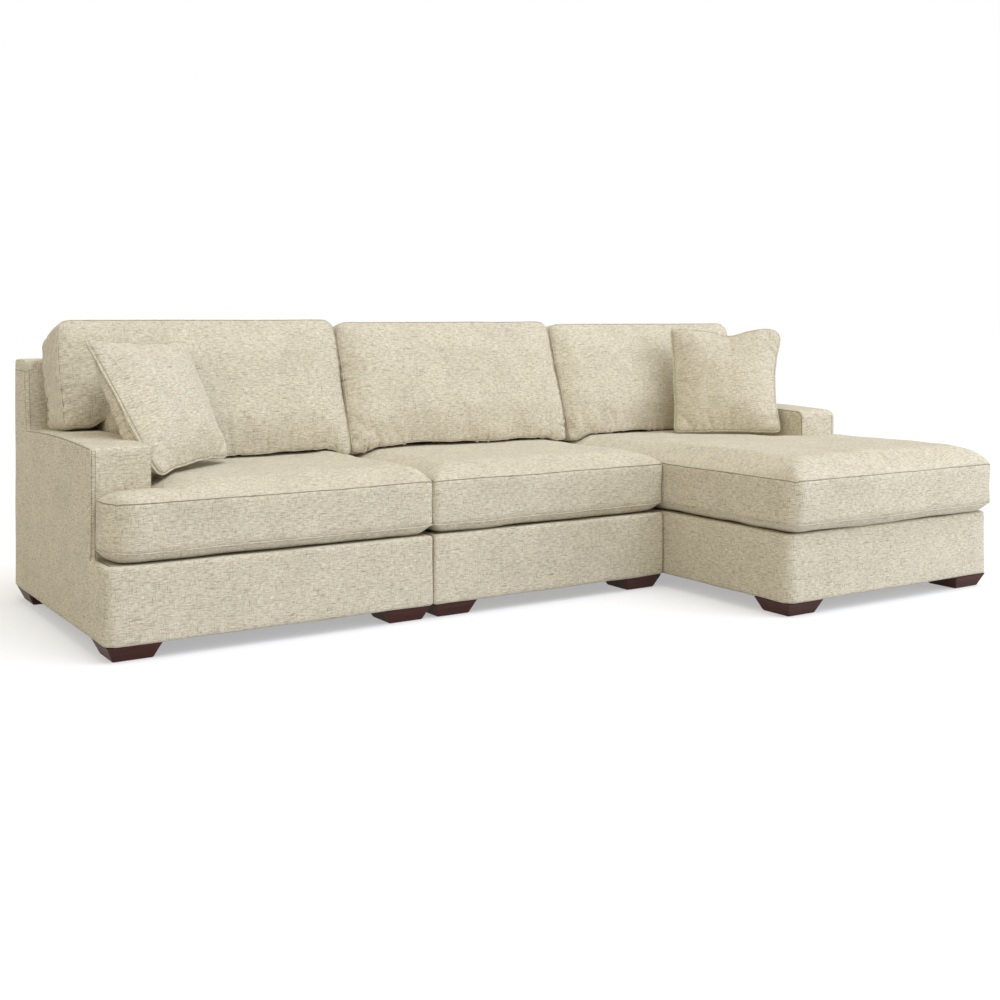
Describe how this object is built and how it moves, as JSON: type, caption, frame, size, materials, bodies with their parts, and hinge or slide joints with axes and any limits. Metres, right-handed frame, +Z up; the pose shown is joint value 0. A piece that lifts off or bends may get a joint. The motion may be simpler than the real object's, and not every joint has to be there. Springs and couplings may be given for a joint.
{
  "type": "sectional sofa with chaise",
  "caption": "Low sectional sofa with boxed loose cushions, a long chaise at its right end, low track arms, tapered wood block feet and throw pillows.",
  "frame": {"origin": "on the floor, under the middle of the bounding box", "axes": "+X from the arm end to the chaise end as seen from the front, +Y from the front to the back, +Z up"},
  "size_m": [3.02, 1.717, 0.9578],
  "materials": {
    "upholstery": "heathered oatmeal plain weave with short darker slubs, matt",
    "deck_cloth": "plain matt decking cloth",
    "webbing": "coarse jute webbing",
    "dust_cloth": "thin black spun cloth",
    "foot_wood": "dark red-brown stained hardwood, satin lacquer",
    "frame_wood": "raw sawn softwood and plywood",
    "connector_steel": "plain zinc-plated sheet steel"
  },
  "bodies": {
    "middle_section": {"middle_front_left_foot": "foot_wood", "middle_front_right_foot": "foot_wood", "middle_back_left_foot": "foot_wood", "middle_back_right_foot": "foot_wood", "middle_front_rail": "frame_wood", "middle_back_rail": "frame_wood", "middle_left_rail": "frame_wood", "middle_right_rail": "frame_wood", "middle_base_cover": "upholstery", "middle_seat_deck": "deck_cloth", "middle_seat_webbing": "webbing", "middle_dust_cover": "dust_cloth", "middle_back_board": "frame_wood", "middle_back_cover": "upholstery", "left_plate": "connector_steel", "chaise_plate": "connector_steel"},
    "left_section": {"left_front_left_foot": "foot_wood", "left_front_right_foot": "foot_wood", "left_back_left_foot": "foot_wood", "left_back_right_foot": "foot_wood", "left_front_rail": "frame_wood", "left_back_rail": "frame_wood", "left_left_rail": "frame_wood", "left_right_rail": "frame_wood", "left_base_cover": "upholstery", "left_seat_deck": "deck_cloth", "left_seat_webbing": "webbing", "left_dust_cover": "dust_cloth", "left_back_board": "frame_wood", "left_back_cover": "upholstery", "left_arm_cover": "upholstery", "left_arm_frame": "frame_wood", "left_tongue": "connector_steel"},
    "chaise_section": {"chaise_front_left_foot": "foot_wood", "chaise_front_right_foot": "foot_wood", "chaise_back_left_foot": "foot_wood", "chaise_back_right_foot": "foot_wood", "chaise_front_rail": "frame_wood", "chaise_back_rail": "frame_wood", "chaise_left_rail": "frame_wood", "chaise_right_rail": "frame_wood", "chaise_base_cover": "upholstery", "chaise_seat_deck": "deck_cloth", "chaise_seat_webbing": "webbing", "chaise_dust_cover": "dust_cloth", "chaise_back_board": "frame_wood", "chaise_back_cover": "upholstery", "chaise_cross_rail": "frame_wood", "chaise_tongue": "connector_steel", "right_arm_cover": "upholstery", "right_arm_frame": "frame_wood"},
    "left_seat": {"left_seat_cushion": "upholstery"},
    "left_back": {"left_back_cushion": "upholstery"},
    "middle_seat": {"middle_seat_cushion": "upholstery"},
    "middle_back": {"middle_back_cushion": "upholstery"},
    "chaise_seat": {"chaise_seat_cushion": "upholstery"},
    "chaise_back": {"chaise_back_cushion": "upholstery"},
    "left_throw": {"left_pillow": "upholstery"},
    "right_throw": {"right_pillow": "upholstery"}
  },
  "joints": [
    {"name": "left_section_lift", "type": "slide", "parent": "middle_section", "child": "left_section", "axis": [0, 0, 1], "range_m": [0, 0.06]},
    {"name": "chaise_section_lift", "type": "slide", "parent": "middle_section", "child": "chaise_section", "axis": [0, 0, 1], "range_m": [0, 0.06]},
    {"name": "left_seat_cushion_lift", "type": "slide", "parent": "left_section", "child": "left_seat", "axis": [0, 0, 1], "range_m": [0, 0.35]},
    {"name": "left_back_cushion_lift", "type": "slide", "parent": "left_seat", "child": "left_back", "axis": [0, 0, 1], "range_m": [0, 0.36]},
    {"name": "middle_seat_cushion_lift", "type": "slide", "parent": "middle_section", "child": "middle_seat", "axis": [0, 0, 1], "range_m": [0, 0.35]},
    {"name": "middle_back_cushion_lift", "type": "slide", "parent": "middle_seat", "child": "middle_back", "axis": [0, 0, 1], "range_m": [0, 0.36]},
    {"name": "chaise_seat_cushion_lift", "type": "slide", "parent": "chaise_section", "child": "chaise_seat", "axis": [0, 0, 1], "range_m": [0, 0.35]},
    {"name": "chaise_back_cushion_lift", "type": "slide", "parent": "chaise_seat", "child": "chaise_back", "axis": [0, 0, 1], "range_m": [0, 0.36]},
    {"name": "left_pillow_lift", "type": "slide", "parent": "left_back", "child": "left_throw", "axis": [0, 0, 1], "range_m": [0, 0.5]},
    {"name": "right_pillow_lift", "type": "slide", "parent": "chaise_back", "child": "right_throw", "axis": [0, 0, 1], "range_m": [0, 0.5]}
  ]
}
